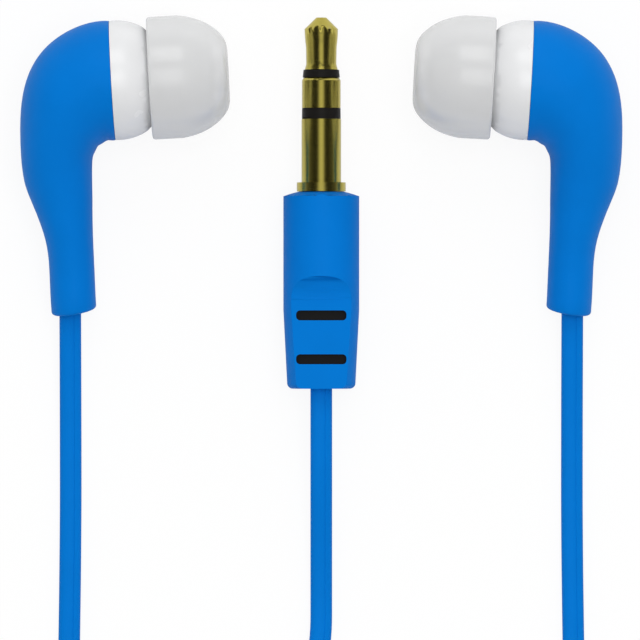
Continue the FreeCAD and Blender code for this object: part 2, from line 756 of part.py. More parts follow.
def plug_grip_form():
    """The plug's outer moulding: domed end, round upper part, two flat grip faces, two slots."""
    corner = MOULD_TOP - MOULD_DOME
    drop, out = half_way_down(MOULD_R, MOULD_DOME)
    body = along_y(
        (MOULD_TOP, 0),
        ((MOULD_TOP - drop, out), (corner, MOULD_R)),
        (MOULD_TAPER_START, MOULD_R),
        (MOULD_BOTTOM + MOULD_CORNER, MOULD_END_R),
        ((MOULD_BOTTOM + 0.29 * MOULD_CORNER, MOULD_END_R - 0.29 * MOULD_CORNER),
         (MOULD_BOTTOM, MOULD_END_R - MOULD_CORNER)),
        (MOULD_BOTTOM, 0))
    rise = MOULD_R - GRIP_HALF
    run = GRIP_START - GRIP_FLAT
    radius = (rise ** 2 + run ** 2) / (2 * rise)
    lean = math.asin(run / radius) / 2
    middle = (GRIP_FLAT + radius * math.sin(lean), GRIP_HALF + radius * (1 - math.cos(lean)))
    above = MOULD_R + 1
    below = MOULD_BOTTOM - 1
    outline = chain(
        (below, GRIP_HALF), (GRIP_FLAT, GRIP_HALF), (middle, (GRIP_START, MOULD_R)),
        (GRIP_START, above), (below, above), (below, GRIP_HALF))
    scoop = Part.Face(Part.Wire(outline))
    scoop.rotate(ORIGIN, Vec(1, 1, 1), 120)
    scoop = scoop.extrude(Vec(2 * above, 0, 0))
    scoop.translate(Vec(-above, 0, 0))
    under = scoop.mirror(ORIGIN, Z_AXIS)
    form = body.cut(scoop).cut(under)
    for centre in SLOT_CENTRES:
        slot = Part.makeBox(SLOT_WIDTH, SLOT_HEIGHT, 2 * above,
                            Vec(-SLOT_WIDTH / 2, centre - SLOT_HEIGHT / 2, -above))
        upright = [e for e in slot.Edges if abs(e.tangentAt(e.FirstParameter).z) > 0.9]
        form = form.cut(slot.makeFillet(SLOT_CORNER, upright))
    return form


def y_split():
    """The flat moulding where the two branches join the main cord."""
    half = CORD_THICK / 2 + SPLIT_WALL
    bottom = SPLIT_TOP - SPLIT_LENGTH
    wires = [split_outline(SPLIT_TOP, SPLIT_TOP_WIDTH / 2, half),
             split_outline(bottom, SPLIT_END_WIDTH / 2, half)]
    body = Part.makeLoft(wires, True, True)
    body.translate(Z_AXIS * COIL_BASE)
    main = cord_bar(Vec(0, SPLIT_TOP - SPLIT_DEPTH - SEAT_GAP, COIL_BASE),
                    Vec(0, SPLIT_TOP + 1, COIL_BASE), CORD_FIT)
    body = body.cut(main)
    for side in (-1, 1):
        strand = cord_bar(Vec(side * STRAND_X, bottom - 1, COIL_BASE),
                          Vec(side * STRAND_X, bottom + SPLIT_DEPTH + SEAT_GAP, COIL_BASE), SEAT_GAP)
        body = body.cut(strand)
    return body


def split_outline(y, half_width, half_depth):
    """A rectangle with round short sides, across the cord."""
    flat = half_width - half_depth
    spots = [Vec(x * flat, y, z * half_depth) for x, z in ((-1, 1), (1, 1), (1, -1), (-1, -1))]
    return Part.Wire([
        Part.LineSegment(spots[0], spots[1]).toShape(),
        Part.Arc(spots[1], Vec(half_width, y, 0), spots[2]).toShape(),
        Part.LineSegment(spots[2], spots[3]).toShape(),
        Part.Arc(spots[3], Vec(-half_width, y, 0), spots[0]).toShape()])


def placed(shape):
    """An earbud's piece, rolled onto the table and turned as it lies on the left."""
    shape = shape.copy()
    shape.rotate(ORIGIN, X_AXIS, ROLL)
    shape.rotate(ORIGIN, Z_AXIS, NOZZLE_TILT)
    shape.translate(Vec(-SEAM_X, SEAM_Y, TIP_R))
    return shape


def main():
    bud = {
        "rear_housing": rear_housing(),
        "front_cover": front_cover(),
        "nozzle_mesh": nozzle_mesh(),
        "ear_tip": ear_tip(),
        "driver_basket": driver_basket(),
        "magnet_yoke": magnet_yoke(),
        "magnet": cylinder(MAGNET_R, MAGNET_BACK + SEAT_GAP, MAGNET_FRONT - SEAT_GAP),
        "top_plate": cylinder(TOP_PLATE_R, MAGNET_FRONT, PLATE_FRONT),
        "voice_coil": ring(COIL_R - COIL_WALL, COIL_R, DIAPHRAGM_EDGE - COIL_LENGTH, DIAPHRAGM_EDGE),
        "diaphragm": diaphragm(),
        "diaphragm_surround": diaphragm_surround(),
        "driver_grille": driver_grille(),
        "damping_ring": ring(YOKE_R + SEAT_GAP, LEDGE_R - SEAT_GAP,
                             BASKET_BACK - BASKET_PLATE - SEAT_GAP - DAMPING_THICK,
                             BASKET_BACK - BASKET_PLATE - SEAT_GAP),
        "terminal_board": terminal_board(),
        "lead_wires": lead_wires(),
        "cord_stop": cord_stop(),
        "cord_tail": cord_tail(),
        "cord_grommet": cord_grommet(),
    }
    nodes = {}
    for name, shape in bud.items():
        left = placed(shape)
        nodes["left_" + name] = left
        nodes["right_" + name] = left.mirror(ORIGIN, X_AXIS)

    # The left branch: out of the stem, down to the table and along it, and up onto its coil
    exit_mark = placed(Part.Vertex(EXIT)).Point
    exit_way = (placed(Part.Vertex(EXIT + EXIT_WAY)).Point - exit_mark).normalize()
    flex_end = exit_mark + exit_way * FLEX_LENGTH
    touch = exit_mark + exit_way * ((exit_mark.z - CORD_REST) / -exit_way.z)
    branch_nodes = [(270, BRANCH_ENTRY_R, COIL_BASE)]
    branch_nodes += layer_nodes(BRANCH_COIL_R, 180, -1, (2, 2, 2, 1))
    top = branch_nodes[-1][2]
    left_end = BRANCH_COIL + Vec(-branch_nodes[-1][1], CORD_WIDTH, top)
    branch_route = [
        flex_end,
        touch,
        *[Vec(x, y, CORD_REST) for x, y in BRANCH_ON_TABLE],
        Vec(left_end.x, BRANCH_CLIMB_END, top),
        left_end,
    ]
    low_start = BRANCH_COIL + Vec(CORD_WIDTH, -BRANCH_ENTRY_R, COIL_BASE)
    split_low = SPLIT_TOP - SPLIT_LENGTH
    strand_route = [
        low_start,
        Vec(-STRAND_X - STRAND_CORNER, low_start.y, COIL_BASE),
        Vec(-STRAND_X, low_start.y + STRAND_CORNER, COIL_BASE),
        Vec(-STRAND_X, split_low + SPLIT_DEPTH, COIL_BASE),
    ]
    branch = {
        "cord_flex": cord_bar(exit_mark, flex_end),
        "cord_branch": laid_cord("branch", branch_route),
        "cord_coil": wound_cord("branch coil", BRANCH_COIL, branch_nodes, -1),
        "cord_strand": laid_cord("strand", strand_route),
        "coil_tie": coil_tie(BRANCH_COIL, branch_nodes, 90),
    }
    for name, shape in branch.items():
        nodes["left_" + name] = shape
        nodes["right_" + name] = shape.mirror(ORIGIN, X_AXIS)

    # The main cord: out of the plug, down to the table, into its coil and on to the Y-split
    main_nodes = layer_nodes(MAIN_COIL_R, MAIN_ENTRY, 1, (7, 6))
    main_nodes.append((MAIN_EXIT, MAIN_EXIT_R, main_nodes[-1][2]))
    spots = coil_points(MAIN_COIL, main_nodes, 1)
    entry = spots[0][0] - spots[0][1] * CORD_WIDTH
    leave = spots[-1][0] + spots[-1][1] * CORD_WIDTH
    main_route = [
        Vec(0, MOULD_BOTTOM, MOULD_R),
        Vec(0, MAIN_LEVEL_END, MOULD_R),
        Vec(0, MAIN_TOUCH, CORD_REST),
        Vec(0, MAIN_RISE, CORD_REST + MAIN_RISE_LIFT),
        entry - spots[0][1] * MAIN_LEAD_IN,
        entry,
    ]
    lower_route = [
        leave,
        leave + spots[-1][1] * LOWER_LEAD_OUT - Z_AXIS * LOWER_SINK,
        Vec(0, LOWER_STRAIGHT, COIL_BASE),
        Vec(0, SPLIT_TOP - SPLIT_DEPTH, COIL_BASE),
    ]
    nodes["main_cord_upper"] = laid_cord("main upper", main_route)
    nodes["main_cord_coil"] = wound_cord("main coil", MAIN_COIL, main_nodes, 1)
    nodes["main_cord_lower"] = laid_cord("main lower", lower_route)
    nodes["main_coil_tie"] = coil_tie(MAIN_COIL, main_nodes, 0)
    nodes["y_split"] = y_split()

    for name, shape in plug_pieces().items():
        shape = shape.copy()
        shape.translate(Z_AXIS * MOULD_R)
        nodes[name] = shape

    os.makedirs("parts", exist_ok=True)
    for name, shape in nodes.items():
        solids = shape.Solids
        shape = solids[0] if len(solids) == 1 else Part.makeCompound(solids)
        shape.exportStep("parts/%s.step" % name)
        if not shape.isValid():
            print("not valid:", name)
    print(len(nodes), "nodes")
    for label, spot in (("exit", exit_mark), ("exit way", exit_way), ("flex end", flex_end),
                        ("touch", touch), ("coil top end", left_end), ("coil low start", low_start),
                        ("main entry", entry), ("main leave", leave)):
        print("%s (%.3f, %.3f, %.3f)" % (label, spot.x, spot.y, spot.z))
    print("roll %.3f degrees" % ROLL)


main()
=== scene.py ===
# %% [markdown]
# # Wired earphones on a table
# Two earbuds lie on their sides with the ear tips facing each other, and a stereo plug lies
# between them. Their flat cord runs out of the picture and is wound up just below it. The
# solid model brings every piece at its real size and place. This lesson gives the soft pieces
# their true shapes, every piece its finish, and the whole its light and camera.

# %% Start from the solid model
import bpy
import json
import math
from mathutils import Matrix, Vector

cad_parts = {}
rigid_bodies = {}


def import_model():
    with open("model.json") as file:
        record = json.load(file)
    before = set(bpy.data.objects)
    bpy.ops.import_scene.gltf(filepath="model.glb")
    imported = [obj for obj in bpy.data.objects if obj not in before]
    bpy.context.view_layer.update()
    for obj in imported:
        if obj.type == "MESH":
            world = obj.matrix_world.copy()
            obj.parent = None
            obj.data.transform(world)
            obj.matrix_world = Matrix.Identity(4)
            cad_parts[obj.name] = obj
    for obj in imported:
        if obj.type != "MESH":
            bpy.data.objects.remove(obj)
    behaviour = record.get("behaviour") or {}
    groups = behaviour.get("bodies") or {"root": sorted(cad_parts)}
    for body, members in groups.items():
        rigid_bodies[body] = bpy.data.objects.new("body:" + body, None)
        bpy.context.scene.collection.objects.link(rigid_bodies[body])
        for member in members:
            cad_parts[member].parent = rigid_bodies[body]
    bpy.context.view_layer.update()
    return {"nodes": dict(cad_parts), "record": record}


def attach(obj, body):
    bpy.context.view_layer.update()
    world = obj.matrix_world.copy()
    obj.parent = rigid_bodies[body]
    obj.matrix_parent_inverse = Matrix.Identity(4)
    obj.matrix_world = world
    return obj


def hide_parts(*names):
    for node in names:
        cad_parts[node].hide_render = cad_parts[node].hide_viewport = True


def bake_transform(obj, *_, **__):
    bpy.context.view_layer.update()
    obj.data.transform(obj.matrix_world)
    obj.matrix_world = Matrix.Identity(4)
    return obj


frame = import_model()
MM = 0.001

# %% [markdown]
# ## The camera
# The photograph looks straight down from far away, so a very long lens is used: with a short
# one the earbuds, which stand higher than the cord, would look too large. The picture is
# 56.6 mm wide, found from the plug, which is 3.5 mm thick.

# %% Camera
VIEW_WIDTH = 56.64
VIEW_CENTRE = (-0.115, -13.82, 4.0)
LENS = 500.0
SENSOR = 36.0
CLIP_NEAR = 0.05
CLIP_FAR = 10

camera_data = bpy.data.cameras.new("camera")
camera_data.lens = LENS
camera_data.sensor_width = SENSOR
camera = bpy.data.objects.new("camera", camera_data)
bpy.context.scene.collection.objects.link(camera)
distance = VIEW_WIDTH * LENS / SENSOR
camera.location = (VIEW_CENTRE[0] * MM, VIEW_CENTRE[1] * MM, (VIEW_CENTRE[2] + distance) * MM)
camera_data.clip_start = CLIP_NEAR
camera_data.clip_end = CLIP_FAR
bpy.context.scene.camera = camera
print("camera stands", round(distance), "mm above the table")

# %% [markdown]
# ## The cords
# The cord is a flat moulded bar, 1.95 mm wide and 1.2 mm thick, with a shallow crease along
# it. It lies flat everywhere, so one outline is swept along one smooth line. A NURBS curve of
# order 3 touches the middle of each side of its control polygon, so the corners of a route can
# be written down as they are. A turn of a coil is a row of points on half circles, and one of
# them climbs to the next layer where the winding turns back.

# %% Sizes of the cord
CORD_WIDTH = 1.95
CORD_THICK = 1.2
TURN_STEP = 1.215
LAYER_STEP = 1.68
REVERSAL_STEP = 0.4
TABLE_REST = 0.62
COIL_BASE = 1.05
HALF_TURN = 180
POINTS_PER_HALF = 12
CLOCKWISE = -1
ANTICLOCKWISE = 1


def coil_nodes(outer, start, sense, counts):
    """Half-turn nodes (angle, radius, height) of layers that spiral in and out."""
    nodes = []
    angle = start
    radius = outer
    for layer, count in enumerate(counts):
        height = COIL_BASE + layer * LAYER_STEP
        way = -1 if layer % 2 == 0 else 1
        if layer:
            angle += sense * HALF_TURN
        nodes.append((angle, radius, height))
        for i in range(count):
            angle += sense * HALF_TURN
            reversal = (i == 0 and layer > 0) or (i == count - 1 and layer < len(counts) - 1)
            radius += way * (TURN_STEP + (REVERSAL_STEP if reversal else 0))
            nodes.append((angle, radius, height))
    return nodes


def on_circle(centre, node, sense):
    """A node's place and the way the cord runs there."""
    angle, radius, height = node
    out = Vector((math.cos(math.radians(angle)), math.sin(math.radians(angle)), 0))
    way = Vector((-out.y, out.x, 0)) * sense
    return Vector((centre[0], centre[1], height)) + out * radius, way


def coil_points(centre, nodes, sense):
    """Control points along a coil, a little outside its line, as the curve cuts their corners."""
    points = []
    swell = 1 / math.cos(math.pi / POINTS_PER_HALF / 2)
    for a, b in zip(nodes, nodes[1:]):
        here, way = on_circle(centre, a, sense)
        there, _ = on_circle(centre, b, sense)
        span = abs(b[0] - a[0])
        steps = max(2, round(POINTS_PER_HALF * span / HALF_TURN))
        for i in range(steps):
            share = (i + 0.5) / steps
            if span == HALF_TURN:
                middle = (here + there) / 2
                turn = math.pi * share
                arm = (here - middle) * math.cos(turn) + way * (middle - here).length * math.sin(turn)
                arm.x *= swell
                arm.y *= swell
                points.append(middle + arm)
            else:
                angle = math.radians(a[0] + (b[0] - a[0]) * share)
                radius = (a[1] + (b[1] - a[1]) * share) * swell
                points.append(Vector((centre[0] + radius * math.cos(angle),
                                      centre[1] + radius * math.sin(angle),
                                      a[2] + (b[2] - a[2]) * share)))
    return points


# %% [markdown]
# The outline of the cord is a bar with round edges. A small notch at a third of its width
# makes the crease, which shows in the photograph as a change of tone along the cord.

# %% The cord's outline
CREASE_X = -0.32
CREASE_HALF = 0.09
CREASE_DEPTH = 0.05
EDGE_STEPS = 7


def cord_outline():
    """The outline's points in mm, anticlockwise."""
    flat = (CORD_WIDTH - CORD_THICK) / 2
    half = CORD_THICK / 2
    points = []
    for side in (1, -1):
        for i in range(EDGE_STEPS + 1):
            turn = math.pi * i / EDGE_STEPS - math.pi / 2
            points.append((side * (flat + half * math.cos(turn)), side * half * math.sin(turn)))
        for x, depth in ((CREASE_HALF, 0), (0, CREASE_DEPTH), (-CREASE_HALF, 0)):
            points.append((CREASE_X + side * x, side * (half - depth)))
    return points


outline = bpy.data.curves.new("cord_outline", "CURVE")
outline.dimensions = "2D"
spline = outline.splines.new("POLY")
spline.points.add(len(cord_outline()) - 1)
for point, (x, y) in zip(spline.points, cord_outline()):
    point.co = (x * MM, y * MM, 0, 1)
spline.use_cyclic_u = True
outline_object = bpy.data.objects.new("cord_outline", outline)
bpy.context.scene.collection.objects.link(outline_object)
print("outline of", len(spline.points), "points")


# %% Making a cord
CURVE_STEPS = 12
MERGE_WITHIN = 0.002 * MM
CORD_SMOOTH_ANGLE = math.radians(40)


def deselect_all():
    """An operator acts on all that is selected, so nothing is left selected before one."""
    for other in list(bpy.context.selected_objects):
        other.select_set(False)


def select_only(target):
    """Selects one object and makes it the active one."""
    deselect_all()
    target.select_set(True)
    bpy.context.view_layer.objects.active = target


def close_up():
    """In edit mode: merges points that lie together and turns all faces outwards."""
    bpy.ops.mesh.select_all(action="SELECT")
    bpy.ops.mesh.remove_doubles(threshold=MERGE_WITHIN)
    bpy.ops.mesh.normals_make_consistent(inside=False)


def swept(name, points):
    """A flat cord along control points in mm, as a mesh, and the line that it follows."""
    curve = bpy.data.curves.new(name, "CURVE")
    curve.dimensions = "3D"
    curve.twist_mode = "Z_UP"
    curve.resolution_u = CURVE_STEPS
    line = curve.splines.new("NURBS")
    line.points.add(len(points) - 1)
    for point, place in zip(line.points, points):
        point.co = (place[0] * MM, place[1] * MM, place[2] * MM, 1)
    line.order_u = 3
    line.use_endpoint_u = True
    cord_object = bpy.data.objects.new(name, curve)
    bpy.context.scene.collection.objects.link(cord_object)
    bare = bpy.data.meshes.new_from_object(cord_object)
    path = [vertex.co.copy() for vertex in bare.vertices]
    curve.bevel_mode = "OBJECT"
    curve.bevel_object = outline_object
    curve.use_fill_caps = True
    select_only(cord_object)
    bpy.ops.object.convert(target="MESH")
    bpy.ops.object.mode_set(mode="EDIT")
    close_up()
    bpy.ops.object.mode_set(mode="OBJECT")
    bpy.ops.object.shade_smooth_by_angle(angle=CORD_SMOOTH_ANGLE)
    length = sum((b - a).length for a, b in zip(path, path[1:]))
    print(name, round(length / MM, 1), "mm,", len(cord_object.data.polygons), "faces")
    return cord_object, path


def mirrored(points):
    """The same points for the right side."""
    return [Vector((-p[0], p[1], p[2])) for p in points]


# %% [markdown]
# Each branch leaves a stem, comes down to the table and runs out of the picture. Then it climbs
# onto the top of its coil, is wound down through four layers, and enters the Y-split. Its first
# 5 mm are a piece of their own, which stays in place; the real cord bends there when an earbud is
# turned.

# %% The branches
STEM_EXIT = (-22.266, -13.266, 2.172)
FLEX_END = (-22.269, -18.204, 1.385)
BRANCH_COIL = (-15.3, -93.3)
BRANCH_R = 10.8
BRANCH_ENTRY_R = 11.4
BRANCH_ENTRY_ANGLE = 270
BRANCH_LAYERS = (2, 2, 2, 1)
FLEX_STEPS = 4
BRANCH_TOP = COIL_BASE + (len(BRANCH_LAYERS) - 1) * LAYER_STEP
SPLIT_ENTRY = -93.1

branch_nodes = [(BRANCH_ENTRY_ANGLE, BRANCH_ENTRY_R, COIL_BASE)]
branch_nodes += coil_nodes(BRANCH_R, HALF_TURN, CLOCKWISE, BRANCH_LAYERS)
branch_points = [
    FLEX_END,
    (-22.273, -23.008, TABLE_REST),
    (-22.27, -34.5, TABLE_REST),
    (-22.6, -54.0, TABLE_REST),
    (-24.5, -69.5, TABLE_REST),
    (-24.9, -84.0, BRANCH_TOP),
    (-24.9, -91.8, BRANCH_TOP),
    *reversed(coil_points(BRANCH_COIL, branch_nodes, CLOCKWISE)),
    (-14.0, -104.7, COIL_BASE),
    (-5.4, -104.7, COIL_BASE),
    (-1.4, -100.7, COIL_BASE),
    (-1.4, SPLIT_ENTRY, COIL_BASE),
]
flex_points = [Vector(STEM_EXIT).lerp(Vector(FLEX_END), i / FLEX_STEPS)
               for i in range(FLEX_STEPS + 1)]

cords = {}
flexes = {}
for side, points, short in (("left", branch_points, flex_points),
                            ("right", mirrored(branch_points), mirrored(flex_points))):
    cords[side] = swept(side + "_branch", points)
    flexes[side], _ = swept(side + "_bend", short)

# %% [markdown]
# The main cord leaves the plug's grip, comes down to the table and is wound in two layers, out
# of sight below the picture. From the upper layer it goes on to the Y-split.

# %% The main cord
PLUG_AXIS_Z = 3.36
GRIP_END = -19.9
MAIN_COIL = (0, -64.2)
MAIN_R = 15.3
MAIN_START = 120
MAIN_LAYERS = (7, 6)
MAIN_EXIT_TURN = 120
MAIN_EXIT_R = 15.0
main_nodes = coil_nodes(MAIN_R, MAIN_START, ANTICLOCKWISE, MAIN_LAYERS)
last_angle, _, last_height = main_nodes[-1]
main_nodes.append((last_angle + MAIN_EXIT_TURN, MAIN_EXIT_R, last_height))
entry, entry_way = on_circle(MAIN_COIL, main_nodes[0], ANTICLOCKWISE)
leave, leave_way = on_circle(MAIN_COIL, main_nodes[-1], ANTICLOCKWISE)
entry -= entry_way * CORD_WIDTH
leave += leave_way * CORD_WIDTH
main_points = [
    (0, GRIP_END, PLUG_AXIS_Z),
    (0, -25.9, PLUG_AXIS_Z),
    (0, -36.0, TABLE_REST),
    (0, -44.0, TABLE_REST + 0.2),
    entry + Vector((3.76, 2.18, 0)),
    entry,
    *coil_points(MAIN_COIL, main_nodes, ANTICLOCKWISE),
    leave,
    leave + Vector((3.29, -1.9, -0.4)),
    (0, -83.8, COIL_BASE),
    (0, -89.6, COIL_BASE),
]
cords["main"] = swept("main", main_points)
bpy.data.objects.remove(outline_object)

# %% [markdown]
# ## The ear tips
# A silicone tip is a thin skirt that turns back over a sleeve. It is round, so its outline is
# turned: a ring of points is drawn at the skirt's back edge and then extruded again and again,
# each time to the next radius, until it closes on itself.

# %% Turning a ring into a round piece
RING_POINTS = 96
NOZZLE_TILT = math.radians(3.2)
ROLL = math.radians(9.064)
SEAM = (-18.48, 7.34, 5.42)
left_place = (Matrix.Translation(Vector(SEAM) * MM) @ Matrix.Rotation(NOZZLE_TILT, 4, "Z")
              @ Matrix.Rotation(ROLL, 4, "X"))
right_place = Matrix.Scale(-1, 4, Vector((1, 0, 0))) @ left_place


def turned(name, profile):
    """A closed round piece about X from a closed outline of (x, radius) points in mm."""
    deselect_all()
    x, radius = profile[0]
    bpy.ops.mesh.primitive_circle_add(vertices=RING_POINTS, radius=radius * MM,
                                      location=(x * MM, 0, 0), rotation=(0, math.pi / 2, 0))
    piece = bpy.context.active_object
    piece.name = name
    bpy.ops.object.transform_apply(location=True, rotation=True, scale=True)
    bpy.ops.object.mode_set(mode="EDIT")
    bpy.ops.mesh.select_all(action="SELECT")
    for next_x, next_radius in profile[1:] + profile[:1]:
        bpy.ops.mesh.extrude_region_move(
            TRANSFORM_OT_translate={"value": ((next_x - x) * MM, 0, 0)})
        grow = next_radius / radius
        bpy.ops.transform.resize(value=(1, grow, grow), center_override=(next_x * MM, 0, 0))
        x, radius = next_x, next_radius
    close_up()
    bpy.ops.object.mode_set(mode="OBJECT")
    return piece


def arc(centre, radius, start, end, steps):
    """Points on an arc of an outline, angles in degrees from the X axis."""
    points = []
    for i in range(steps + 1):
        turn = math.radians(start + (end - start) * i / steps)
        points.append((centre[0] + radius * math.cos(turn), centre[1] + radius * math.sin(turn)))
    return points


def curve_through(a, b, c, steps):
    """Points on the smooth line from a to c that leaves towards b and arrives from it."""
    points = []
    for i in range(steps + 1):
        t = i / steps
        points.append(tuple((1 - t) ** 2 * p + 2 * t * (1 - t) * q + t * t * r
                            for p, q, r in zip(a, b, c)))
    return points


# %% [markdown]
# The skirt's wall is half a millimetre thick and its back edge is rounded. It stays straight
# for over a third of its length and then curves in to a mouth that shows the sleeve's bore.

# %% Ear tips
TIP_BACK = 3.3
TIP_FRONT = 10.3
TIP_R = 5.42
TIP_WALL = 0.5
SLEEVE_R = 2.55
SLEEVE_BORE = 1.95
MOUTH_R = 1.5
BACK_ROUND = 0.25
STRAIGHT_END = 6.0
TIP_SMOOTH_ANGLE = math.radians(35)

tip_profile = (
    arc((TIP_BACK + BACK_ROUND, TIP_R - BACK_ROUND), BACK_ROUND, 180, 90, 4)
    + curve_through((STRAIGHT_END, TIP_R), (8.5, 5.12), (9.85, 3.5), 12)
    + curve_through((9.98, 3.3), (TIP_FRONT - 0.03, 2.85), (TIP_FRONT, 2.2), 6)
    + [(TIP_FRONT, MOUTH_R + 0.15), (TIP_FRONT - 0.15, MOUTH_R)]
    + [(8.9, MOUTH_R), (8.9, SLEEVE_BORE), (4.45, SLEEVE_BORE)]
    + [(4.25, SLEEVE_BORE + 0.2), (4.25, SLEEVE_R - 0.1), (4.4, SLEEVE_R), (8.7, SLEEVE_R)]
    + curve_through((8.95, 2.9), (8.3, 4.6), (STRAIGHT_END, TIP_R - TIP_WALL), 12)
    + [(TIP_BACK + 0.2, TIP_R - TIP_WALL)])


def own_copy(piece, name):
    """A copy of a piece with a mesh of its own."""
    copy = piece.copy()
    copy.data = piece.data.copy()
    copy.name = name
    bpy.context.scene.collection.objects.link(copy)
    return copy


def placed_copy(piece, name, place):
    """A copy of a piece, moved to where it lies, with its faces outwards."""
    copy = own_copy(piece, name)
    copy.data.transform(place)
    select_only(copy)
    bpy.ops.object.mode_set(mode="EDIT")
    bpy.ops.mesh.select_all(action="SELECT")
    bpy.ops.mesh.normals_make_consistent(inside=False)
    bpy.ops.object.mode_set(mode="OBJECT")
    bpy.ops.object.shade_smooth_by_angle(angle=TIP_SMOOTH_ANGLE)
    return copy


tip_pattern = turned("tip_pattern", tip_profile)
tips = {"left": placed_copy(tip_pattern, "left_tip", left_place),
        "right": placed_copy(tip_pattern, "right_tip", right_place)}
bpy.data.objects.remove(tip_pattern)
print("ear tips of", len(tips["left"].data.polygons), "faces")

# %% [markdown]
# ## Smooth copies of the moulded pieces
# The solid model's mesh is loose triangles, which shade as flat facets. A copy with its points
# merged can be shaded smooth, while angles over a limit stay crisp. The rubber and plastic
# mouldings get such copies, because their soft highlights would show every facet. On the plug
# the triangles of one flat facet are joined as well, because long thin ones shade in streaks,
# and the round part of its grip gets a round bar's shading.

# %% Smooth copies
SMOOTH_KINDS = ("rear_housing", "front_cover", "plug_grip", "y_split", "coil_tie", "plug_tip",
                "plug_ring", "plug_sleeve", "insulator", "cord_grommet", "plug_inner_mould",
                "cord_tail", "cord_end")
COPY_MERGE_WITHIN = 0.001 * MM
PLUG_SMOOTH_ANGLE = math.radians(24)
SHELL_SMOOTH_ANGLE = math.radians(32)
PLUG_FLAT_ANGLE = math.radians(0.6)
GRIP_R = 3.36
GRIP_NEAR = 0.01
FACING_LIMIT = 0.9


def round_shading(piece):
    """Shades the grip's upper part as the round bar that it is."""
    normals = [corner.vector.copy() for corner in piece.data.corner_normals]
    turn = piece.matrix_world.to_3x3().inverted()
    for face in piece.data.polygons:
        for i in face.loop_indices:
            place = piece.matrix_world @ piece.data.vertices[piece.data.loops[i].vertex_index].co
            out = turn @ Vector((place.x, 0, place.z - PLUG_AXIS_Z * MM))
            if abs(out.length - GRIP_R * MM) < GRIP_NEAR * MM:
                out.normalize()
                if out.dot(face.normal) > FACING_LIMIT:
                    normals[i] = out
    piece.data.normals_split_custom_set(normals)


smooth = {}
for name in [name for name in frame["nodes"] if name.endswith(SMOOTH_KINDS)]:
    copy = own_copy(frame["nodes"][name], "smooth_" + name)
    select_only(copy)
    bpy.ops.object.mode_set(mode="EDIT")
    bpy.ops.mesh.select_all(action="SELECT")
    bpy.ops.mesh.remove_doubles(threshold=COPY_MERGE_WITHIN)
    smooth_angle = SHELL_SMOOTH_ANGLE
    if name.startswith("plug"):
        smooth_angle = PLUG_SMOOTH_ANGLE
        bpy.ops.mesh.dissolve_limited(angle_limit=PLUG_FLAT_ANGLE)
    bpy.ops.object.mode_set(mode="OBJECT")
    bpy.ops.object.shade_smooth_by_angle(angle=smooth_angle)
    weighted = copy.modifiers.new("weighted", "WEIGHTED_NORMAL")
    weighted.keep_sharp = True
    bpy.ops.object.modifier_apply(modifier=weighted.name)
    if name == "plug_grip":
        round_shading(copy)
    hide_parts(name)
    smooth[name] = copy
print("smooth copies", len(smooth))


# %% [markdown]
# ## Writing finishes
# A finish is a material whose colour, gloss and grain change a little over the surface. The
# small class below wraps a socket, so that shader maths can be written as Python sums.

# %% Shader maths
class Field:
    """A number that varies over a surface."""

    def __init__(self, finish, socket):
        self.finish = finish
        self.socket = socket

    def _maths(self, operation, first, second):
        node = self.finish.node("ShaderNodeMath", {"operation": operation}, {0: first, 1: second})
        return Field(self.finish, node.outputs[0])

    def __add__(self, other):
        return self._maths("ADD", self, other)

    __radd__ = __add__

    def __sub__(self, other):
        return self._maths("SUBTRACT", self, other)

    def __mul__(self, other):
        return self._maths("MULTIPLY", self, other)


class Finish:
    """A material with a Principled shader, made node by node."""

    def __init__(self, name):
        self.material = bpy.data.materials.new(name)
        self.material.use_nodes = True
        self.tree = self.material.node_tree
        self.shader = self.tree.nodes["Principled BSDF"]

    def node(self, kind, settings, sockets):
        """Adds a node: its settings first, then the values or links of its sockets."""
        node = self.tree.nodes.new(kind)
        for key, value in settings.items():
            setattr(node, key, value)
        self.fill(node, sockets)
        return node

    def fill(self, node, sockets):
        for key, value in sockets.items():
            if isinstance(value, Field):
                self.tree.links.new(value.socket, node.inputs[key])
            elif isinstance(value, bpy.types.NodeSocket):
                self.tree.links.new(value, node.inputs[key])
            else:
                node.inputs[key].default_value = value

    def place(self):
        """Object coordinates."""
        return self.node("ShaderNodeTexCoord", {}, {}).outputs["Object"]

    def noise(self, scale, detail=2.0, vector=None):
        """A cloudy pattern from 0 to 1; scale is in cycles per metre."""
        node = self.node("ShaderNodeTexNoise", {},
                         {"Vector": vector or self.place(), "Scale": scale, "Detail": detail})
        return Field(self, node.outputs[0])

    def mix(self, mask, dark, light):
        """Two colours by a mask."""
        node = self.node("ShaderNodeMix", {"data_type": "RGBA"},
                         {0: mask, 6: (*dark, 1), 7: (*light, 1)})
        return node.outputs[2]

    def bump(self, height, distance):
        """A relief, as a normal that tilts with the height; distance is its depth in metres."""
        node = self.node("ShaderNodeBump", {},
                         {"Height": height, "Distance": distance, "Strength": 1.0})
        return node.outputs["Normal"]

    def shade(self, **sockets):
        """Sets the shader's sockets; a name's underscores stand for spaces."""
        self.fill(self.shader, {key.replace("_", " "): value for key, value in sockets.items()})
        return self.material


def scaled(colour, factor):
    """A colour made darker or lighter."""
    return tuple(min(1.0, c * factor) for c in colour)


# %% [markdown]
# ## Plastic and rubber
# Moulded plastic is nearly one colour. Its surface has a very fine grain from the mould and its
# gloss wanders a little, which keeps it from looking like paint in a computer. The shells are
# smoother than the cord and the grip, which are soft rubber with a duller skin.

# %% Moulded finishes
CLOUD_SCALE = 260
CLOUD_GLOSS = 0.08
DARKEST = 0.94
LIGHTEST = 1.05
COAT_ROUGHNESS = 0.15
BLUE = (0.0, 0.184, 0.645)
WHITE = (0.84, 0.845, 0.855)
NEAR_BLACK = (0.012, 0.011, 0.01)


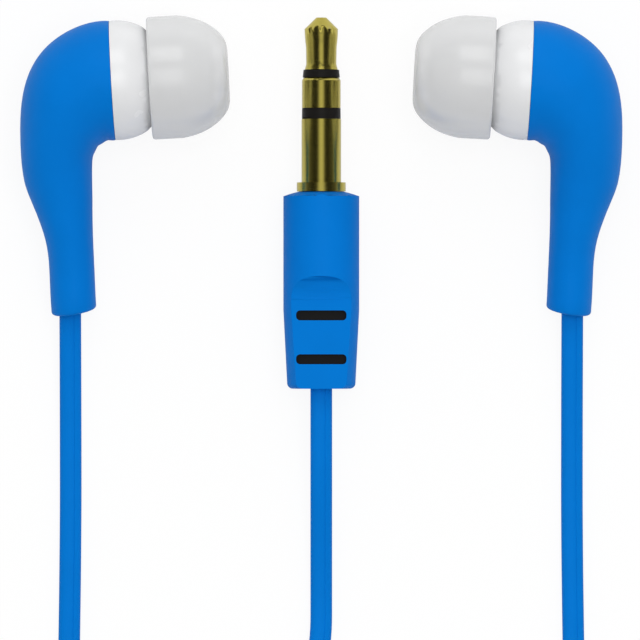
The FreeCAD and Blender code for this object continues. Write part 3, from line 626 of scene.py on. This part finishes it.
def moulded(name, colour, roughness, grain, grain_depth, coat=0.0, sheen=0.0, shine=0.5):
    """A moulded surface: cloudy colour and gloss, and a fine grain."""
    finish = Finish(name)
    cloud = finish.noise(CLOUD_SCALE, 3)
    fine = finish.noise(grain, 2)
    return finish.shade(
        Base_Color=finish.mix(cloud, scaled(colour, DARKEST), scaled(colour, LIGHTEST)),
        Roughness=roughness + (cloud - 0.5) * CLOUD_GLOSS,
        Normal=finish.bump(fine, grain_depth * MM),
        Coat_Weight=coat,
        Coat_Roughness=COAT_ROUGHNESS,
        Specular_IOR_Level=shine,
        Sheen_Weight=sheen)


materials = {
    "blue_shell": moulded("blue_shell", BLUE, 0.42, 9000, 0.004, shine=0.05),
    "white_shell": moulded("white_shell", WHITE, 0.26, 9000, 0.003, shine=0.8),
    "blue_rubber": moulded("blue_rubber", BLUE, 0.48, 7000, 0.006, shine=0.05),
    "cord": moulded("cord", BLUE, 0.5, 6000, 0.006, shine=0.05),
    "cord_rubber": moulded("cord_rubber", scaled(BLUE, 0.55), 0.6, 6000, 0.006),
    "black_plastic": moulded("black_plastic", NEAR_BLACK, 0.4, 8000, 0.004, shine=0.12),
    "tie": moulded("tie", (0.02, 0.02, 0.022), 0.6, 5000, 0.01),
    "film": moulded("film", (0.72, 0.7, 0.6), 0.25, 8000, 0.002, coat=0.5),
    "board": moulded("board", (0.015, 0.16, 0.07), 0.35, 6000, 0.004, coat=0.4),
    "copper_wire": moulded("copper_wire", (0.5, 0.06, 0.03), 0.3, 6000, 0.003, coat=0.5),
    "felt": moulded("felt", (0.06, 0.06, 0.065), 0.95, 3500, 0.05, sheen=0.6),
}
print("moulded finishes", len(materials))

# %% [markdown]
# ## Silicone
# A silicone tip lets light through but blurs what is behind it. Seen from above it is pale grey
# where its wall is seen face on. Real refraction through two thin walls is slow and noisy, so
# the skin is partly see-through instead, with a soft gloss over it.

# %% Silicone
silicone = Finish("silicone")
smudge = silicone.noise(180, 2)
facing = silicone.node("ShaderNodeLayerWeight", {}, {"Blend": 0.35})
edge = Field(silicone, facing.outputs["Facing"])
materials["tip_silicone"] = silicone.shade(
    Base_Color=silicone.mix(smudge, (0.875, 0.88, 0.885), (0.89, 0.895, 0.9)),
    Roughness=0.17 + smudge * 0.04,
    Specular_IOR_Level=1.0,
    Alpha=0.62 + edge * 0.3,
    Normal=silicone.bump(silicone.noise(2500, 2), 0.006 * MM))


# %% [markdown]
# ## Metals
# The plug's contacts are turned brass with a thin coat of gold, so fine rings run round them.
# The grain follows the Y axis there. The driver's pressed steel and its plated magnet have a
# plain fine grain instead.

# %% Metals
METAL_CLOUD_SCALE = 500
METAL_CLOUD_GLOSS = 0.1
METAL_DARKEST = 0.9


def metal(name, colour, roughness, grain, depth):
    """A metal with a fine grain."""
    finish = Finish(name)
    cloud = finish.noise(METAL_CLOUD_SCALE, 3)
    return finish.shade(
        Base_Color=finish.mix(cloud, scaled(colour, METAL_DARKEST), scaled(colour, LIGHTEST)),
        Metallic=1.0,
        Roughness=roughness + (cloud - 0.5) * METAL_CLOUD_GLOSS,
        Normal=finish.bump(finish.noise(grain, 2), depth * MM))


RINGS_SCALE = (60.0, 9000.0, 60.0)
gold = Finish("gold")
stretched = gold.node("ShaderNodeMapping", {}, {"Vector": gold.place(), "Scale": RINGS_SCALE})
rings = gold.noise(1.0, 3, vector=stretched.outputs[0])
materials["gold"] = gold.shade(
    Base_Color=gold.mix(rings, (0.5, 0.42, 0.08), (0.62, 0.53, 0.12)),
    Metallic=1.0,
    Roughness=0.2 + rings * 0.1,
    Normal=gold.bump(rings, 0.006 * MM))
materials["pressed_steel"] = metal("pressed_steel", (0.55, 0.55, 0.56), 0.32, 6000, 0.004)
materials["screen"] = metal("screen", (0.35, 0.35, 0.36), 0.4, 9000, 0.004)
materials["magnet"] = metal("magnet", (0.6, 0.6, 0.62), 0.2, 5000, 0.003)
materials["copper_coil"] = metal("copper_coil", (0.75, 0.33, 0.16), 0.3, 9000, 0.01)
materials["brass_crimp"] = metal("brass_crimp", (0.62, 0.45, 0.2), 0.3, 5000, 0.004)
print("all finishes", len(materials))

# %% [markdown]
# ## Giving out the finishes
# The record says which finish every solid has. The pieces made here take the finish of the
# solids that they stand for. All but the cords' short bends move with the same body; the bends stay
# where they are placed.

# %% Finishes and bodies
slot_of = {entry["node"]: entry["material_slot"] for entry in frame["record"]["subparts"]}
body_of = {node: body for body, nodes in frame["record"]["behaviour"]["bodies"].items()
           for node in nodes}
sign_of = {"left": 1, "right": -1}


def in_metres(point, side):
    """A point of the left side in metres, mirrored for the right."""
    return [sign_of[side] * point[0] * MM, point[1] * MM, point[2] * MM]


def dress(piece, slot_name):
    piece.data.materials.clear()
    piece.data.materials.append(materials[slot_name])


for name, node in frame["nodes"].items():
    dress(node, slot_of[name])
for name, copy in smooth.items():
    dress(copy, slot_of[name])
    if copy.parent is None:
        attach(copy, body_of[name])
for side in ("left", "right"):
    dress(tips[side], "tip_silicone")
    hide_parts(side + "_ear_tip")
    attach(tips[side], side + "_soft_tip")
    cord_object, path = cords[side]
    dress(cord_object, "cord")
    dress(flexes[side], "cord")
    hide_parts(side + "_cord_branch", side + "_cord_coil", side + "_cord_strand")
    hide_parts(side + "_cord_flex")
    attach(cord_object, "cord_set")
    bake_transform(flexes[side], side + "_earbud", "cord_set",
             in_metres(STEM_EXIT, side), in_metres(FLEX_END, side))
main_object, main_path = cords["main"]
dress(main_object, "cord")
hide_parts("main_cord_upper", "main_cord_coil", "main_cord_lower")
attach(main_object, "cord_set")
print("pieces dressed", len(frame["nodes"]) + len(smooth))

# %% [markdown]
# The cords run 0.42 m from each earbud to the Y-split and 0.54 m from there to the plug.

for side in ("left", "right"):
    cord_object, path = cords[side]

# %% [markdown]
# ## Table and light
# The table is white in the picture, and still shows a soft shadow. The camera sees a mix of
# plain white and a lit surface. One broad lamp stands beyond the ear tips. One hangs overhead
# and isn't mirrored, because the sky has a bright patch of its own above, which makes the
# gold's middle band.

# %% Table
TABLE_SIZE = 4
GLOW = 1.02
PLAIN_SHARE = 0.88

deselect_all()
bpy.ops.mesh.primitive_plane_add(size=TABLE_SIZE)
table = bpy.context.active_object
table.name = "table"
white = Finish("table_white")
lit = white.node("ShaderNodeBsdfDiffuse", {}, {"Color": (0.85, 0.85, 0.85, 1)})
glow = white.node("ShaderNodeEmission", {}, {"Color": (1, 1, 1, 1), "Strength": GLOW})
rays = white.node("ShaderNodeLightPath", {}, {})
seen = Field(white, rays.outputs["Is Camera Ray"]) + Field(white, rays.outputs["Is Transmission Ray"])
blend_node = white.node("ShaderNodeMixShader", {}, {0: seen * PLAIN_SHARE})
white.tree.links.new(lit.outputs[0], blend_node.inputs[1])
white.tree.links.new(glow.outputs[0], blend_node.inputs[2])
output = white.tree.nodes["Material Output"]
white.tree.links.new(blend_node.outputs[0], output.inputs["Surface"])
table.data.materials.append(white.material)


# %% Lamps
def soft_lamp(name, place, aim, size, watts):
    """A square lamp at a place in metres that faces a point."""
    data = bpy.data.lights.new(name, "AREA")
    data.shape = "SQUARE"
    data.size = size
    data.energy = watts
    lamp = bpy.data.objects.new(name, data)
    bpy.context.scene.collection.objects.link(lamp)
    lamp.location = place
    lamp.rotation_mode = "QUATERNION"
    lamp.rotation_quaternion = (Vector(aim) - Vector(place)).to_track_quat("-Z", "Y")
    return lamp


MIDDLE = (0, 0, 0)
soft_lamp("far_lamp", place=(0.0, 0.35, 0.35), aim=MIDDLE, size=0.25, watts=0.3)
overhead_lamp = soft_lamp("overhead_lamp", place=(0.06, 0.02, 0.6), aim=MIDDLE,
                          size=0.36, watts=1.5)
overhead_lamp.visible_glossy = False

# %% [markdown]
# The sky lights everything evenly, a little more from beyond the ear tips. What shines sees
# another sky: bright straight up and low down, and dark between, like a room round a tent.

# %% Sky
world = bpy.data.worlds.new("sky")
bpy.context.scene.world = world
world.use_nodes = True
sky = world.node_tree
sky.nodes.clear()
direction = sky.nodes.new("ShaderNodeTexCoord")
split = sky.nodes.new("ShaderNodeSeparateXYZ")
sky.links.new(direction.outputs["Generated"], split.inputs[0])


def sky_light(axis, stops):
    """A sky whose brightness changes along one axis; stops are pairs of share and level."""
    ramp = sky.nodes.new("ShaderNodeValToRGB")
    elements = ramp.color_ramp.elements
    for position, level in stops[1:-1]:
        elements.new(position).color = (level, level, level, 1)
    for element, stop in zip((elements[0], elements[-1]), (stops[0], stops[-1])):
        element.position, level = stop
        element.color = (level, level, level, 1)
    sky.links.new(split.outputs[axis], ramp.inputs[0])
    light = sky.nodes.new("ShaderNodeBackground")
    sky.links.new(ramp.outputs[0], light.inputs["Color"])
    return light


def chosen(kind, plain, special):
    """One light for all rays but those of a kind."""
    choice = sky.nodes.new("ShaderNodeMixShader")
    sky.links.new(path_kind.outputs[kind], choice.inputs[0])
    sky.links.new(plain.outputs[0], choice.inputs[1])
    sky.links.new(special.outputs[0], choice.inputs[2])
    return choice


path_kind = sky.nodes.new("ShaderNodeLightPath")
even = sky_light("Y", ((0.0, 0.5), (1.0, 0.75)))
banded = sky_light("Z", ((0.0, 0.8), (0.16, 0.42), (0.3, 0.07), (0.62, 0.05), (0.7, 0.01),
                         (0.94, 0.01), (0.99, 0.9)))
seen_white = sky.nodes.new("ShaderNodeBackground")
seen_white.inputs["Color"].default_value = (1, 1, 1, 1)
sky_output = sky.nodes.new("ShaderNodeOutputWorld")
final = chosen("Is Camera Ray", chosen("Is Glossy Ray", even, banded), seen_white)
sky.links.new(final.outputs[0], sky_output.inputs["Surface"])
bpy.context.scene.view_settings.view_transform = "Standard"
print("light is set")
